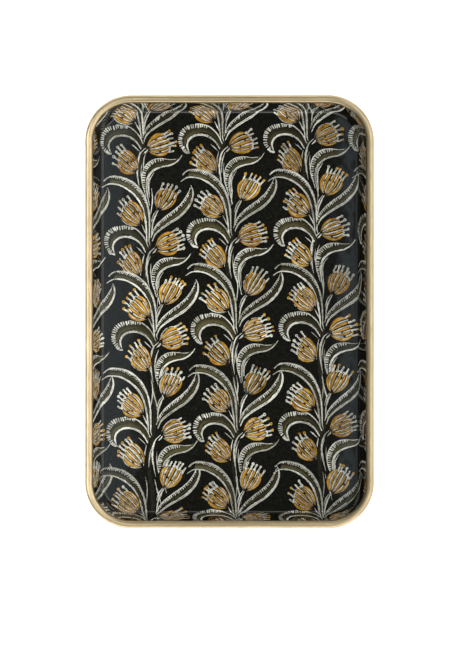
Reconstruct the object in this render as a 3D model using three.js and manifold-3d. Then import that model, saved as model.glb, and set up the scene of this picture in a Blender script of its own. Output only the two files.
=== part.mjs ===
// A small rectangular serving tray with round corners, about 200 x 300 x 20 mm.
//
// How the real one is made:
//   tray_pan       one pressing of 0.7 mm sheet steel: a flat floor, a tight cove, a steep leaning wall,
//                  and a top edge that is curled outwards round a wire
//   edge_wire      a 2 mm steel wire, bent to the tray's outline and closed with a butt joint, that
//                  stiffens the curled edge
//   rim_band       a brass strip crimped over the curl, from a short lip inside the wall, over the top,
//                  to the underside of the curl; its two ends meet at a butt joint on the +Y side
//   printed_liner  the printed sheet with its clear coat, which lines the floor and the wall up to the
//                  band's lip
//
// Millimetres, +Z up. The origin is at the centre of the underside. X is the short side, Y the long side.
// Neighbouring faces that touch on the real tray are kept GAP apart.
import * as THREE from "three";
import { mergeVertices } from "three/addons/utils/BufferGeometryUtils.js";
import Module from "manifold-3d";

const wasm = await Module();
wasm.setup();

// ---- driving dimensions (mm) ----
const WIDTH = 200; // over the rim, X
const LENGTH = 300; // over the rim, Y
const HEIGHT = 20; // underside to the top of the rim
const CORNER_R = 32; // outline radius at the rim
const SHEET = 0.7; // steel sheet
const LEAN = THREE.MathUtils.degToRad(18); // wall, from the vertical
const COVE_R = 3.0; // floor to wall, on the inside face of the steel
const GAP = 0.3; // between faces that touch
const WIRE_R = 1.0;
const CURL_IN = WIRE_R + GAP; // inner radius of the curled edge
const CURL_OUT = CURL_IN + SHEET;
const BAND = 0.35; // brass strip thickness
const BAND_IN = CURL_OUT + GAP;
const BAND_OUT = BAND_IN + BAND;
const BAND_LIP = 1.2; // straight part of the band inside the wall
const LINER = 0.3; // printed sheet and clear coat
const CURL_END = THREE.MathUtils.degToRad(-130); // where the curled edge stops, under the wire
const BAND_END = THREE.MathUtils.degToRad(-126);
const JOINT_GAP = 0.4; // butt joints of the wire and of the band
const CORNER_STEPS = 10; // facets in a quarter turn of the outline

// ---- section, in (o, z): o is measured outwards from the tray's outermost edge ----
const along = new THREE.Vector2(Math.sin(LEAN), Math.cos(LEAN)); // up the wall
const inward = new THREE.Vector2(-Math.cos(LEAN), Math.sin(LEAN)); // from the wall towards the well
const wire = new THREE.Vector2(-BAND_OUT, HEIGHT - BAND_OUT); // centre of the wire
const curlStart = wire.clone().addScaledVector(inward, CURL_OUT); // inside face, where the curl begins
const coveCentreZ = SHEET + COVE_R;
const coveTopZ = coveCentreZ - COVE_R * Math.sin(LEAN);
const wallRun = (curlStart.y - coveTopZ) / along.y; // straight length of the wall
const floorEdge = curlStart.x - wallRun * along.x - COVE_R * Math.cos(LEAN); // where the flat floor ends
const cove = new THREE.Vector2(floorEdge, coveCentreZ);
const startAngle = Math.PI - LEAN; // direction of `inward`

// Points of an arc about c, from angle a to angle b.
function arc(c, r, a, b, steps) {
  const curve = new THREE.ArcCurve(c.x, c.y, r, a, b, b < a);
  return curve.getPoints(steps);
}
// A face parallel to the steel's inside face, d mm above it, from the floor's edge to `stop` mm short of the curl.
function liningFace(d, stop, steps) {
  const points = arc(cove, COVE_R - d, -Math.PI / 2, -LEAN, steps);
  const end = curlStart
    .clone()
    .addScaledVector(inward, d)
    .addScaledVector(along, -stop);
  return [...points, end];
}

// ---- lofting round the outline ----
// The outline at offset o, counter-clockwise from above: four quarter arcs joined by the straight sides.
function ring(o) {
  const path = new THREE.Path();
  const r = CORNER_R + o,
    x = WIDTH / 2 - CORNER_R,
    y = LENGTH / 2 - CORNER_R;
  const points = [];
  [
    [x, y],
    [-x, y],
    [-x, -y],
    [x, -y],
  ].forEach(([cx, cy], k) => {
    const a = (k * Math.PI) / 2;
    path.curves = [new THREE.ArcCurve(cx, cy, r, a, a + Math.PI / 2, false)];
    points.push(...path.curves[0].getPoints(CORNER_STEPS));
  });
  return points;
}
// Joins the rings of a section into one closed surface. The solid lies to the right of the way that the
// section runs. An open section is closed by flat caps at both ends, a closed one by joining its ends.
function loft(section, closed) {
  const rings = section.map((p) => ring(p.x));
  const n = rings[0].length,
    m = section.length,
    position = [],
    index = [];
  rings.forEach((r, i) =>
    r.forEach((p) => position.push(p.x, p.y, section[i].y)),
  );
  const at = (i, j) => (i % m) * n + (j % n);
  for (let i = 0; i < (closed ? m : m - 1); i++)
    for (let j = 0; j < n; j++)
      index.push(
        at(i, j), at(i + 1, j), at(i + 1, j + 1),
        at(i, j), at(i + 1, j + 1), at(i, j + 1),
      );
  if (!closed) {
    const cap = THREE.ShapeUtils.triangulateShape(rings[0], []);
    cap.forEach(([a, b, c]) => index.push(at(0, a), at(0, b), at(0, c)));
    const under = THREE.ShapeUtils.triangulateShape(rings[m - 1], []);
    under.forEach(([a, b, c]) =>
      index.push(at(m - 1, a), at(m - 1, c), at(m - 1, b)),
    );
  }
  const geometry = new THREE.BufferGeometry();
  geometry.setAttribute("position", new THREE.Float32BufferAttribute(position, 3));
  geometry.setIndex(index);
  return geometry;
}

// ---- booleans ----
function solid(geometry) {
  const g = geometry.clone();
  g.deleteAttribute("normal");
  g.deleteAttribute("uv");
  const merged = mergeVertices(g, 1e-4);
  return new wasm.Manifold(
    new wasm.Mesh({
      numProp: 3,
      vertProperties: merged.attributes.position.array,
      triVerts: new Uint32Array(merged.index.array),
    }),
  );
}
function fromSolid(made) {
  const mesh = made.getMesh(),
    k = mesh.numProp,
    position = new Float32Array(mesh.numVert * 3);
  for (let i = 0; i < mesh.numVert; i++)
    position.set(mesh.vertProperties.subarray(i * k, i * k + 3), i * 3);
  const geometry = new THREE.BufferGeometry();
  geometry.setAttribute("position", new THREE.BufferAttribute(position, 3));
  geometry.setIndex(new THREE.BufferAttribute(mesh.triVerts, 1));
  return geometry;
}
// Cuts a butt joint through the middle of one short side: side is 1 for +Y, -1 for -Y.
function cutJoint(geometry, side) {
  const saw = new THREE.BoxGeometry(JOINT_GAP, 24, 24).translate(
    0,
    side * (LENGTH / 2 - 4),
    HEIGHT - 4,
  );
  return fromSolid(solid(geometry).subtract(solid(saw)));
}

// ---- the four pieces ----
// Steel pan: inside face, over the curl, back inside the curl, outside face of the wall, underside.
const panSection = [
  ...arc(cove, COVE_R, -Math.PI / 2, -LEAN, 5),
  ...arc(wire, CURL_OUT, startAngle, CURL_END, 14),
  ...arc(wire, CURL_IN, CURL_END, startAngle, 12),
  ...arc(cove, COVE_R + SHEET, -LEAN, -Math.PI / 2, 5),
];
// Brass band: outside face from the lip over the top, then back along its inside face.
const bandSection = [
  wire.clone().addScaledVector(inward, BAND_OUT).addScaledVector(along, -BAND_LIP),
  ...arc(wire, BAND_OUT, startAngle, BAND_END, 16),
  ...arc(wire, BAND_IN, BAND_END, startAngle, 14),
  wire.clone().addScaledVector(inward, BAND_IN).addScaledVector(along, -BAND_LIP),
];
// Liner: upper face out to its top edge, then back along its lower face.
const linerStop = BAND_LIP + GAP;
const linerSection = [
  ...liningFace(GAP + LINER, linerStop, 5),
  ...liningFace(GAP, linerStop, 5).reverse(),
];
const wireSection = arc(wire, WIRE_R, Math.PI, -Math.PI, 10).slice(0, -1);

const tray = new THREE.Group();
tray.name = "painted_tray";
function piece(name, geometry, colour, roughness, metalness) {
  const mesh = new THREE.Mesh(
    geometry,
    new THREE.MeshStandardMaterial({ color: colour, roughness, metalness }),
  );
  mesh.name = name;
  tray.add(mesh);
  return mesh;
}
piece("tray_pan", loft(panSection, false), 0x1b1c1a, 0.35, 0.2);
piece("edge_wire", cutJoint(loft(wireSection, true), -1), 0x8c8c88, 0.4, 1.0);
piece("rim_band", cutJoint(loft(bandSection, true), 1), 0xc9ab6a, 0.35, 1.0);
piece("printed_liner", loft(linerSection, false), 0x15171a, 0.12, 0.0);

export default tray;
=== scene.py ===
import math

import bmesh
import bpy
import numpy as np
from mathutils import Matrix, Vector
from mathutils.geometry import delaunay_2d_cdt


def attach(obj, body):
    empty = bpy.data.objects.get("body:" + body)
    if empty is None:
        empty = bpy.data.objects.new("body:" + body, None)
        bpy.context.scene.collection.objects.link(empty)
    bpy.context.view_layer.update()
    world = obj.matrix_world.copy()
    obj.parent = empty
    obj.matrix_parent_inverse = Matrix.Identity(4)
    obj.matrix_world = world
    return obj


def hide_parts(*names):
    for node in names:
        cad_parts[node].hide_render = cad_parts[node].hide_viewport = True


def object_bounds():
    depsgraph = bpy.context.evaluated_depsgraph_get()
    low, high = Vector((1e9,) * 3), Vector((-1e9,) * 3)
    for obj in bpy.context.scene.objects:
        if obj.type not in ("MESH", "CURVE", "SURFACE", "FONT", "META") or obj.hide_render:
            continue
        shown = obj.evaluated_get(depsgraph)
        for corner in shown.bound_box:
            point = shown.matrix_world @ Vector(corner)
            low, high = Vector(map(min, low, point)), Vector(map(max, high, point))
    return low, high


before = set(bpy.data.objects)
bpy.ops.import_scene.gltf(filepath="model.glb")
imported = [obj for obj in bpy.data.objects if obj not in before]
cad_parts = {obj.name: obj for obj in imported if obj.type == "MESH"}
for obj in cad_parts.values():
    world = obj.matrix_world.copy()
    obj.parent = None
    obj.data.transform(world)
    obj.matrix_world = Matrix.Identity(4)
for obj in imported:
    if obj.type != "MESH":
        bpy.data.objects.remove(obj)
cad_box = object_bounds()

# A small round-cornered metal tray: black pan, brass-bound rolled rim, and a glossy printed liner.
# Lengths are in millimetres in the shape code, and in metres in the Blender meshes.
MM = 0.001
lo, hi = cad_box
WIDTH, LENGTH, HEIGHT = ((hi[i] - lo[i]) / MM for i in range(3))

# ---- the section, as the CAD has it ----
CORNER_R = 32.0
SHEET, GAP, LINER = 0.7, 0.3, 0.3
LEAN = math.radians(18)
COVE_R = 3.0
WIRE_R = 1.0
CURL_IN = WIRE_R + GAP
CURL_OUT = CURL_IN + SHEET
BAND_IN = CURL_OUT + GAP
BAND_OUT = BAND_IN + 0.35
BAND_LIP = 1.2
CURL_END, BAND_END = math.radians(-130), math.radians(-126)
UP = np.array([math.sin(LEAN), math.cos(LEAN)])  # up the wall
IN = np.array([-math.cos(LEAN), math.sin(LEAN)])  # into the well
WIRE = np.array([-BAND_OUT, HEIGHT - BAND_OUT])
CURL_START = WIRE + IN * CURL_OUT
COVE_Z = SHEET + COVE_R
WALL = (CURL_START[1] - (COVE_Z - COVE_R * math.sin(LEAN))) / UP[1]
FLOOR_EDGE = CURL_START[0] - WALL * UP[0] - COVE_R * math.cos(LEAN)
COVE = np.array([FLOOR_EDGE, COVE_Z])
CX, CY = WIDTH / 2 - CORNER_R, LENGTH / 2 - CORNER_R  # centre of a corner


def arc(c, r, a, b, steps):
    t = np.linspace(a, b, steps + 1)
    return [np.array([c[0] + r * math.cos(x), c[1] + r * math.sin(x)]) for x in t]


# ---- flat drawing of the vine, in millimetres, y up, origin at the tray's centre ----
CELL_X, CELL_Y = 59.8, 66.6


def smooth(points, step=0.45):
    """A smooth curve through the points (Catmull-Rom), resampled at about step mm."""
    p = np.array(points, float)
    if len(p) == 2:
        n = max(2, int(np.linalg.norm(p[1] - p[0]) / step) + 1)
        return p[0] + (p[1] - p[0]) * np.linspace(0, 1, n)[:, None]
    q = np.vstack([2 * p[0] - p[1], p, 2 * p[-1] - p[-2]])
    out = []
    for i in range(len(p) - 1):
        a, b, c, d = q[i : i + 4]
        t = np.linspace(0, 1, 24, endpoint=False)[:, None]
        out.append(
            0.5
            * (
                2 * b
                + (c - a) * t
                + (2 * a - 5 * b + 4 * c - d) * t**2
                + (3 * b - a - 3 * c + d) * t**3
            )
        )
    fine = np.vstack(out + [p[-1:]])
    s = np.concatenate([[0], np.cumsum(np.linalg.norm(np.diff(fine, axis=0), axis=1))])
    n = max(3, int(round(s[-1] / step)) + 1)
    u = np.linspace(0, s[-1], n)
    return np.column_stack([np.interp(u, s, fine[:, 0]), np.interp(u, s, fine[:, 1])])


def side(curve):
    t = np.gradient(curve, axis=0)
    t /= np.linalg.norm(t, axis=1)[:, None] + 1e-12
    return np.column_stack([-t[:, 1], t[:, 0]])


class Drawing:
    """Strips of ink. Each is two edges, left and right, of the same number of points, with its place in the order of
    printing, the shade at its two edges, and its tone."""

    def __init__(self, seed):
        self.rng = np.random.default_rng(seed)
        self.strips = {}
        self.order = 0
        self.tone = None

    def add(self, ink, left, right, shade=None):
        self.order += 1
        tone = self.rng.random()
        if self.tone is not None:  # most of a motif's tone is its own
            tone = 0.65 * self.tone + 0.35 * tone
        self.strips.setdefault(ink, []).append((left, right, self.order, shade, tone))

    def wobble(self, n, scale, amount):
        """Slow noise for a hand-cut edge: n values, with features of about scale points."""
        k = max(3, int(n / scale) + 3)
        v = self.rng.normal(0, amount, k)
        return np.interp(np.linspace(0, k - 1, n), np.arange(k), v)

    def stroke(self, ink, points, width, taper=(0.35, 0.35), rough=0.07, ends=0.25, step=0.45):
        """A line of varying width. taper is the part of the width left at each end; ends is how much of the length tapers."""
        c = smooth(points, step)
        n = len(c)
        t = np.linspace(0, 1, n)
        w = np.interp(t, np.linspace(0, 1, len(width)), width) if np.ndim(width) else np.full(n, float(width))
        e = max(ends, 1e-6)
        w = w * np.minimum(
            np.minimum(1, taper[0] + (1 - taper[0]) * t / e), np.minimum(1, taper[1] + (1 - taper[1]) * (1 - t) / e)
        )
        s = side(c)
        l = w / 2 * (1 + self.wobble(n, 2.2, rough * 2)) + self.wobble(n, 1.2, rough * 0.35)
        r = w / 2 * (1 + self.wobble(n, 2.2, rough * 2)) + self.wobble(n, 1.2, rough * 0.35)
        self.add(ink, c + s * np.maximum(l, 0.06)[:, None], c - s * np.maximum(r, 0.06)[:, None])

    def dot(self, ink, centre, r, steps=5):
        """A small round blob, as a strip that opens and closes."""
        a = np.linspace(0.12, math.pi - 0.12, steps + 1)
        k = self.rng.uniform(0.85, 1.15)
        turn = self.rng.uniform(0, math.pi)
        x, y = -np.cos(a) * r * k, np.sin(a) * r / k
        c, s = math.cos(turn), math.sin(turn)
        m = np.array([[c, s], [-s, c]])
        self.add(ink, np.column_stack([x, y]) @ m + centre, np.column_stack([x, -y]) @ m + centre)

    # -- motifs --
    def leaf(self, outer, inner, place, line=(0.7, 0.0, 1.0), comb=(0.1, 0.9), comb_len=2.8, comb_gap=1.6, comb_w=0.8, lean=0.0, crescent=1.3, notch=None, tail=0.0):
        """A leaf between two edges that run from root to tip: an outline (its width, start and end) and cut dashes on
        the outer edge, a thick line on the inner edge, and a dark fill between that is lighter beside that line."""
        rng = self.rng
        a, b = smooth([place(p) for p in outer]), smooth([place(p) for p in inner])
        n = max(len(a), len(b))
        t = np.linspace(0, 1, n)
        pick = lambda c: np.column_stack([np.interp(t, np.linspace(0, 1, len(c)), c[:, k]) for k in (0, 1)])
        a, b = pick(a), pick(b)
        gap = b - a
        wide = np.linalg.norm(gap, axis=1)
        g = gap / (wide[:, None] + 1e-9)
        # fill, drawn in a little from both outlines
        k = int(n * (0.97 - tail))
        inset = np.minimum(0.55 + self.wobble(n, 1.5, 0.06), wide * 0.3)[:, None]
        self.add("olive", (a + g * inset)[:k], (a + gap * 0.92)[:k], shade=(0.0, 1.0))
        # a few long dark scratches along the fill
        for _ in range(int(rng.integers(2, 4))):
            f = rng.uniform(0.30, 0.80)
            i0 = int(n * rng.uniform(0.05, 0.45))
            i1 = min(n - 2, i0 + int(n * rng.uniform(0.22, 0.45)))
            if i1 - i0 > 4 and wide[i0:i1].mean() > 2.2:
                c = (a + gap * (f + 0.06 * np.sin(t * 9 + f * 7))[:, None])[i0:i1]
                self.line_on("dark" if rng.random() < 0.7 else "olive", c, rng.uniform(0.28, 0.5), 0.08)
        self.strokes_on(a, b, wide, comb, comb_len, comb_gap, comb_w, lean)
        # outer outline
        w, t0, t1 = line
        if w:
            c = (a + g * 0.15)[int(n * t0) : max(int(n * t1), int(n * t0) + 4)]
            self.line_on("cream", c, w, 0.09)
            if notch:  # dark cuts across it
                self.cuts(c, w, notch)
        # inner line, thickest in the middle
        body = crescent * (0.40 + 0.75 * np.sin(np.pi * np.clip(t * 0.94 + 0.03, 0, 1)) ** 0.8)
        body *= 1 + self.wobble(n, 4, 0.12)
        body = np.minimum(body, np.maximum(wide * 0.42, 0.45))
        jag = self.wobble(n, 1.0, 0.09)
        self.add("dark", b - g * (body + 0.42)[:, None], b - g * (body * 0.7)[:, None])
        self.add("cream", b - g * np.maximum(body + jag, 0.15)[:, None] * 0.78, b + g * (body * 0.22 + self.wobble(n, 1.2, 0.05))[:, None])
        i0 = int(n * rng.uniform(0.10, 0.25))
        i1 = int(n * rng.uniform(0.40, 0.70))
        self.line_on("dark", (b - g * (body * rng.uniform(0.2, 0.34))[:, None])[i0:i1], 0.24, 0.08)
        self.cuts((b - g * (body * 0.75)[:, None])[3:-3], 0.62, 3.2)

    def cuts(self, c, w, gap):
        s = np.concatenate([[0], np.cumsum(np.linalg.norm(np.diff(c, axis=0), axis=1))])
        n = side(c)
        pos = gap * self.rng.uniform(0.6, 1.4)
        while pos < s[-1] - 0.5:
            i = min(int(np.searchsorted(s, pos)), len(c) - 1)
            o = self.rng.uniform(-0.35, 0.35) * w
            h = w * self.rng.uniform(0.22, 0.5)
            t = np.array([n[i][1], -n[i][0]]) * self.rng.uniform(-0.2, 0.5)
            self.stroke("dark", [c[i] + n[i] * (o - h) - t * h, c[i] + n[i] * (o + h) + t * h], 0.30, taper=(0.5, 0.5), rough=0.05, ends=0.3, step=0.5)
            pos += gap * self.rng.uniform(0.5, 1.6)

    def line_on(self, ink, c, w, rough):
        n = len(c)
        if n < 3:
            return
        s = side(c)
        t = np.linspace(0, 1, n)
        w = w * (0.5 + 0.5 * np.sin(np.pi * t) ** 0.5) * (1 + self.wobble(n, 5, 0.14))
        l, r = w / 2 + self.wobble(n, 1.2, rough * 0.5), w / 2 + self.wobble(n, 1.2, rough * 0.5)
        self.add(ink, c + s * np.maximum(l, 0.08)[:, None], c - s * np.maximum(r, 0.08)[:, None])

    def strokes_on(self, a, b, wide, span, length, gap, width, lean):
        s = np.concatenate([[0], np.cumsum(np.linalg.norm(np.diff(a, axis=0), axis=1))])
        total = s[-1]
        pos = span[0] * total
        end = span[1] * total
        tang = np.gradient(a, axis=0)
        tang /= np.linalg.norm(tang, axis=1)[:, None] + 1e-12
        while pos < end:
            i = min(int(np.searchsorted(s, pos)), len(a) - 1)
            u = (pos - span[0] * total) / max(end - span[0] * total, 1e-6)
            to = (b[i] - a[i]) / (wide[i] + 1e-9)
            d = np.array([-tang[i][1], tang[i][0]])
            d = d if d @ to > 0 else -d
            d = d * 0.8 + to * 0.2 + tang[i] * (lean + self.rng.uniform(-0.12, 0.12))
            d /= np.linalg.norm(d)
            L = min(length * (0.5 + 0.6 * math.sin(math.pi * min(max(u, 0.02), 0.98)) ** 0.6), wide[i] * 0.6)
            L *= self.rng.uniform(0.82, 1.12)
            if L > 0.6:
                p0, p1 = a[i] + d * 0.05, a[i] + d * L
                w = width * self.rng.uniform(0.8, 1.15)
                self.stroke("cream", [p0, (p0 + p1) / 2, p1], [w * 1.05, w, w * 0.85], taper=(0.8, 0.6), rough=0.05, ends=0.15, step=0.6)
            pos += gap * self.rng.uniform(0.85, 1.18)

    def band(self, ink, at, m, h, u0, u1, bulge=0.5, jag=0.05, steps=9):
        """A stroke along the bud between the lines m - h and m + h, closing to a point at both ends."""
        L, R = [], []
        for u in np.linspace(u0, u1, steps):
            q = (u - u0) / (u1 - u0)
            w = h * ((1 - bulge) + bulge * math.sin(math.pi * min(q * 0.92 + 0.06, 1.0)) ** 0.55)
            w *= min(1.0, 0.25 + q * 6, 0.30 + (1 - q) * 7)
            L.append(at(u, m - w)), R.append(at(u, m + w))
        L, R = smooth(L, 0.5), smooth(R, 0.5)
        c = max(len(L), len(R))
        t = np.linspace(0, 1, c)
        pick = lambda e: np.column_stack([np.interp(t, np.linspace(0, 1, len(e)), e[:, j]) for j in (0, 1)])
        L, R = pick(L), pick(R)
        g = R - L
        g /= np.linalg.norm(g, axis=1)[:, None] + 1e-9
        self.add(ink, L - g * self.wobble(c, 1.4, jag)[:, None], R + g * self.wobble(c, 1.4, jag)[:, None])

    def flower(self, base, tip_dir, place, length=16.6, half=7.5, stamens=6, spread=0.22, skew=0.0):
        """A bud seen from the side: bands of ochre that fan from a pointed base, cream ribs between them, and a crown
        of stamens. skew makes one side longer than the other."""
        rng = self.rng
        self.tone = rng.random()
        base = np.array(base, float)
        d = np.array(tip_dir, float)
        d /= np.linalg.norm(d)
        n = np.array([-d[1], d[0]])
        half *= rng.uniform(0.96, 1.04)
        skew += rng.uniform(-0.04, 0.04)
        U = [0, 0.05, 0.12, 0.24, 0.38, 0.52, 0.66, 0.80, 0.92, 1.0]
        W = [0.06, 0.22, 0.42, 0.66, 0.84, 0.95, 1.0, 0.98, 0.90, 0.80]

        def at(u, v):  # u along from the base, v across, -1..1
            wide = np.interp(u, U, W)
            end = 1.0 - 0.14 * v * v + skew * v
            return place(base + d * (u * length * end) + n * (v * half * wide))

        # the cut ground that clears what lies behind
        L = smooth([at(u, -1.06 - 0.5 / half) for u in np.linspace(0.06, 1.03, 9)], 1.0)
        R = smooth([at(u, 1.06 + 0.5 / half) for u in np.linspace(0.06, 1.03, 9)], 1.0)
        c = min(len(L), len(R))
        t = np.linspace(0, 1, c)
        pick = lambda e: np.column_stack([np.interp(t, np.linspace(0, 1, len(e)), e[:, j]) for j in (0, 1)])
        self.add("ground", pick(L), pick(R))
        # stamens, whose feet lie under the petals
        vs = np.linspace(-0.90, 0.90, stamens)
        knobs = "cream" if rng.random() < 0.3 else "ochre"
        for k, v in enumerate(vs):
            v += rng.uniform(-0.05, 0.05)
            along = length * (1 - 0.14 * v * v + skew * v)
            p0 = base + d * (along * 0.90) + n * (v * half * 0.84)
            out = d + n * (v * spread + rng.uniform(-0.06, 0.06))
            out /= np.linalg.norm(out)
            p1 = p0 + out * (along * 0.08 + 3.4 * rng.uniform(0.75, 1.15))
            mid = (p0 + p1) / 2 + n * rng.uniform(-0.3, 0.3)
            self.stroke("cream", [place(p0), place(mid), place(p1)], [1.5, 1.15, 1.0], taper=(1, 0.9), rough=0.10, ends=0.2)
            if rng.random() < 0.35:  # a dark split
                self.stroke("dark", [place(p0 + out * 1.2), place(p1 - out * 1.0)], 0.32, taper=(0.5, 0.5), rough=0.05, ends=0.3, step=0.6)
            if rng.random() < 0.2:  # no knob
                continue
            r = 1.02 * rng.uniform(0.75, 1.15)
            c = np.array(place(p1 + out * 0.35))
            self.dot(knobs if rng.random() < 0.8 else "cream", c, r)
            if rng.random() < 0.7:
                self.dot("dark" if rng.random() < 0.5 else "cream" if knobs == "ochre" else "rust", c, r * 0.42)
        # bands across the bud
        pale = rng.random() < 0.35
        O, C = (0.15, 0.15) if pale else (0.19, 0.105)
        plan = [("ochre", 0.29), ("gap", 0.075)]
        middle = int(rng.integers(3, 5))
        for k in range(middle):
            plan += [("cream", C), ("gap", 0.045), ("ochre", O), ("gap", 0.085)]
        plan += [("cream", C), ("gap", 0.05), ("ochre", 0.22)]
        if rng.random() < 0.4:
            plan = [("cream", C * 0.7), ("gap", 0.05)] + plan
        sizes = np.array([w * (rng.uniform(0.5, 1.5) if k == "gap" else rng.uniform(0.75, 1.25)) for k, w in plan])
        sizes *= 2.0 / sizes.sum()
        v = -1.0
        for (kind, _), w in zip(plan, sizes):
            m = v + w / 2
            v += w
            if kind == "gap":
                continue
            outer = abs(m) > 0.78
            u0 = 0.03 if outer else 0.05 + rng.uniform(0, 0.09)
            u1 = rng.uniform(0.90, 1.0)
            if kind == "ochre":
                edge = 1 if rng.random() < 0.5 else -1
                self.band("rust", at, m + edge * w * 0.10, w / 2 * 1.12, u0, u1, bulge=0.35 if outer else 0.5)
                self.band("ochre", at, m - edge * w * 0.04, w / 2 * 0.90, u0 + 0.02, u1 - 0.02, bulge=0.35 if outer else 0.55, jag=0.08)
                if rng.random() < 0.6:
                    o = rng.uniform(-0.14, 0.14) * w
                    a0 = rng.uniform(0.18, 0.45)
                    self.band("rust", at, m + o, w * rng.uniform(0.12, 0.20), a0, a0 + rng.uniform(0.20, 0.42), bulge=0.8)
                if rng.random() < (0.35 if outer else 0.6):
                    o = rng.uniform(-0.3, 0.3) * w
                    a0 = rng.uniform(0.25, 0.50)
                    self.band("dark", at, m + o, w * rng.uniform(0.10, 0.18), a0, a0 + rng.uniform(0.2, 0.42), bulge=0.8)
                if outer and rng.random() < 0.6:
                    a0 = rng.uniform(0.35, 0.5)
                    self.band("cream", at, m * 0.985, w * 0.10, a0, a0 + rng.uniform(0.25, 0.4), bulge=0.8)
            else:
                if rng.random() < 0.55:  # in two strokes
                    cut = rng.uniform(0.35, 0.7)
                    self.band("cream", at, m, w / 2, u0, cut, bulge=0.45, jag=0.09)
                    self.band("cream", at, m + rng.uniform(-0.15, 0.15) * w, w / 2, cut + rng.uniform(0.03, 0.07), u1, bulge=0.45, jag=0.09)
                else:
                    self.band("cream", at, m, w / 2, u0, u1, bulge=0.45, jag=0.09)
                if rng.random() < 0.5:
                    a0 = rng.uniform(0.35, 0.6)
                    self.band("dark", at, m + rng.uniform(-0.1, 0.1) * w, w * 0.12, a0, a0 + rng.uniform(0.15, 0.3), bulge=0.8)
        # petal tips along the top
        tips = int(rng.integers(3, 5))
        for k in range(tips):
            m = -0.72 + 1.44 * k / (tips - 1) + rng.uniform(-0.06, 0.06)
            w = rng.uniform(0.12, 0.18)
            ink = "cream" if rng.random() < 0.6 else "ochre"
            self.stroke(ink, [at(0.90, m - w), at(0.975, m - w * 0.3), at(0.965, m + w * 0.4), at(0.89, m + w)], 0.66, taper=(0.4, 0.4), rough=0.08, ends=0.3)
        self.tone = None

# ---- layout ----
# Where each stem's joints lie: a left joint, which carries a hooked leaf, a long leaf and two buds, and a right
# joint, which carries an arched leaf, a curved leaf and two buds.
LEFT = [
    [(-60.7, 115.8), (-57.3, 43.7), (-51.9, -22.0), (-55.9, -89.1), (-58.1, -156.8)],
    [(-5.6, 115.8), (0.2, 50.1), (3.8, -17.0), (4.2, -85.5), (4.0, -152.8)],
    [(53.3, 116.2), (60.3, 51.1), (64.3, -15.0), (63.9, -84.5), (64.1, -153.8)],
]
RIGHT = [
    [(-60.5, 117.0), (-54.5, 47.3), (-51.5, -18.4), (-50.5, -83.3), (-51.5, -146.4)],
    [(-3.4, 118.0), (3.2, 54.3), (6.2, -12.2), (7.0, -81.5), (5.6, -148.6)],
    [(56.7, 123.6), (60.7, 57.9), (66.7, -11.8), (67.1, -80.3), (65.7, -150.6)],
]


def joints():
    left, right = [list(col) for col in LEFT], [list(col) for col in RIGHT]
    for t in (left, right):
        t.insert(0, [(x - 59.6, y - 1.5) for x, y in t[0]])
        t.append([(x + 59.6, y + 1.5) for x, y in t[3]])
        for col in t:
            x, y = col[0]
            col.insert(0, (x - 1.0, y + CELL_Y))
    return left, right


HOOK = (
    [(0.6, -1.6), (-2.8, -8.2), (-8.4, -13.4), (-14.4, -15.2), (-20.2, -15.0), (-25.4, -13.4), (-29.0, -9.6), (-30.2, -4.6), (-29.2, 0.2), (-26.0, 3.6), (-22.4, 4.4)],
    [(-1.2, 2.4), (-4.6, -2.8), (-9.2, -6.2), (-14.4, -7.4), (-19.0, -6.6), (-22.2, -4.2), (-23.6, -0.6), (-22.6, 3.8)],
)
LONG = (
    [(0.9, -4.0), (0.8, -12.2), (0.2, -22.4), (-1.8, -31.0), (-5.2, -38.2), (-9.8, -43.4), (-15.0, -46.8), (-20.8, -48.6), (-26.4, -49.0), (-30.0, -47.8), (-32.6, -45.4)],
    [(-0.8, -4.0), (-1.6, -12.6), (-2.9, -20.2), (-4.6, -26.4), (-7.4, -32.2), (-11.4, -36.8), (-16.0, -40.2), (-21.0, -42.6), (-25.8, -43.4), (-29.8, -43.0), (-33.8, -40.6)],
)
CURVED = (
    [(-0.4, -4.6), (1.6, -10.2), (5.2, -15.0), (10.8, -19.8), (16.6, -24.0), (21.2, -28.2), (24.6, -32.8), (27.2, -37.6), (28.2, -41.0)],
    [(0.6, -1.8), (3.2, -6.8), (8.2, -11.0), (14.0, -14.8), (19.6, -18.2), (24.2, -22.4), (27.8, -27.2), (29.8, -32.8), (29.8, -37.4), (28.3, -41.0)],
)
ARCHED = (
    [(4.6, 43.0), (2.0, 34.2), (-0.2, 27.0), (-0.4, 21.4), (1.2, 16.2), (4.4, 12.4), (8.6, 10.2), (13.8, 9.8), (18.6, 10.4), (23.0, 10.2)],
    [(5.4, 42.6), (3.8, 34.0), (3.6, 27.4), (5.2, 21.6), (9.2, 17.6), (14.4, 15.6), (19.4, 14.6), (23.6, 12.2), (26.2, 9.4), (27.6, 7.0)],
)


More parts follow.
